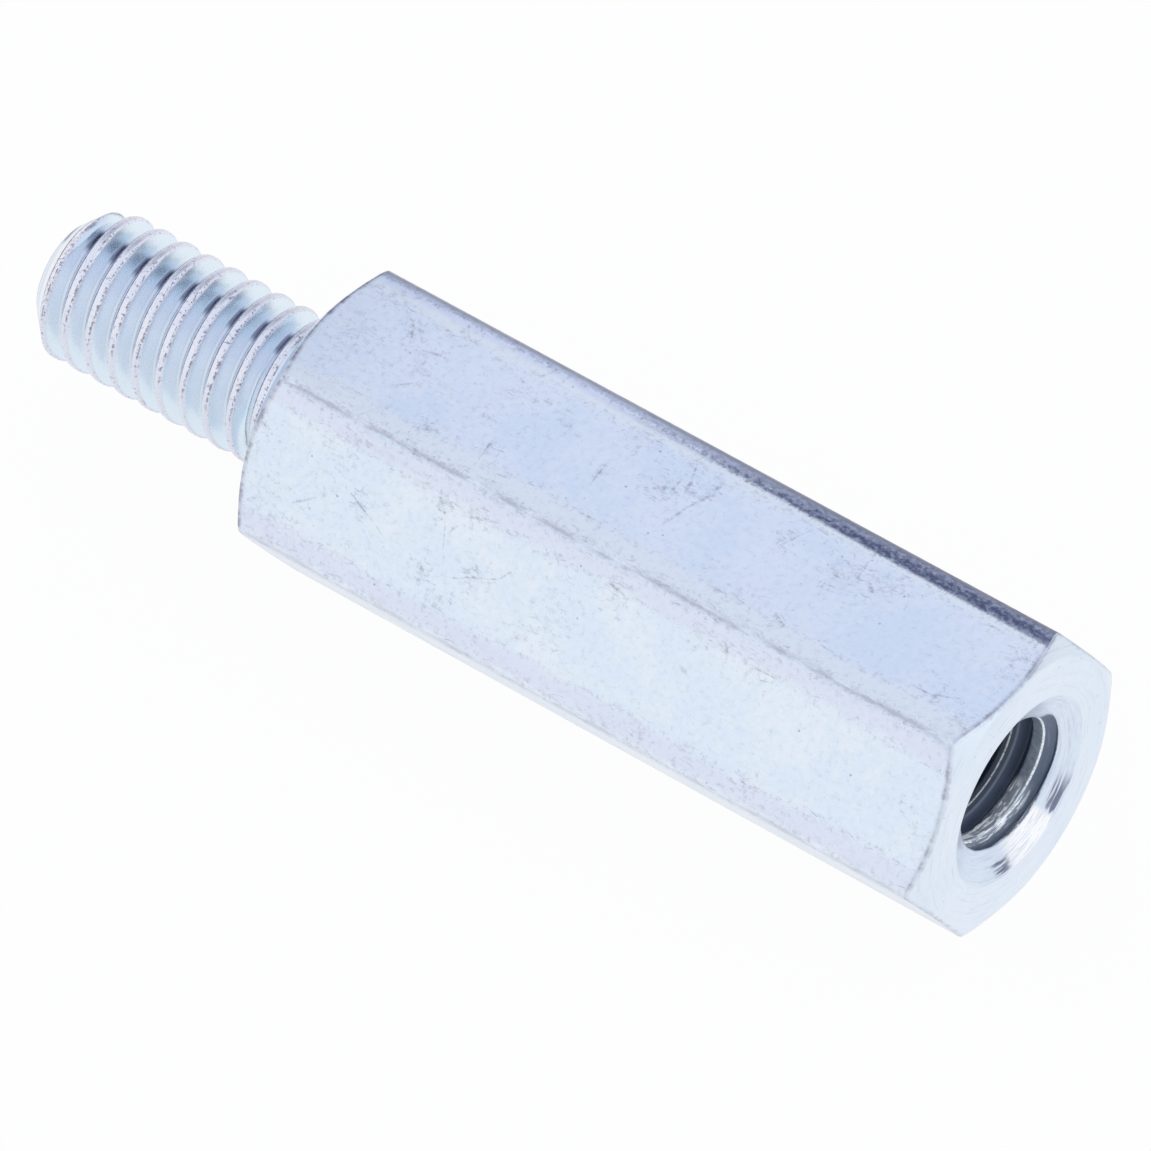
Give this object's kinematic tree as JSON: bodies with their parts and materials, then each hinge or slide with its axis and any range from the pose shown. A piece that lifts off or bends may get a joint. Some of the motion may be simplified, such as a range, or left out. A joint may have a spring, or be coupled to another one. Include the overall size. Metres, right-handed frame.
{
  "type": "hex standoff",
  "caption": "Male to female hex standoff: hexagonal metal spacer with a threaded stud and, at the opposite end, a countersunk tapped blind hole.",
  "frame": {"origin": "on the turning axis, at the plane of the shoulder that the stud grows from", "axes": "+X along the turning axis from the stud towards the tapped end; +Z square to the flat that faces up while the part lies on the opposite flat"},
  "size_m": [0.0276, 0.008, 0.007],
  "materials": {
    "zinc_plated_steel": "bright zinc plate, lightly scuffed"
  },
  "bodies": {
    "root": {"hex_standoff": "zinc_plated_steel"}
  },
  "joints": []
}
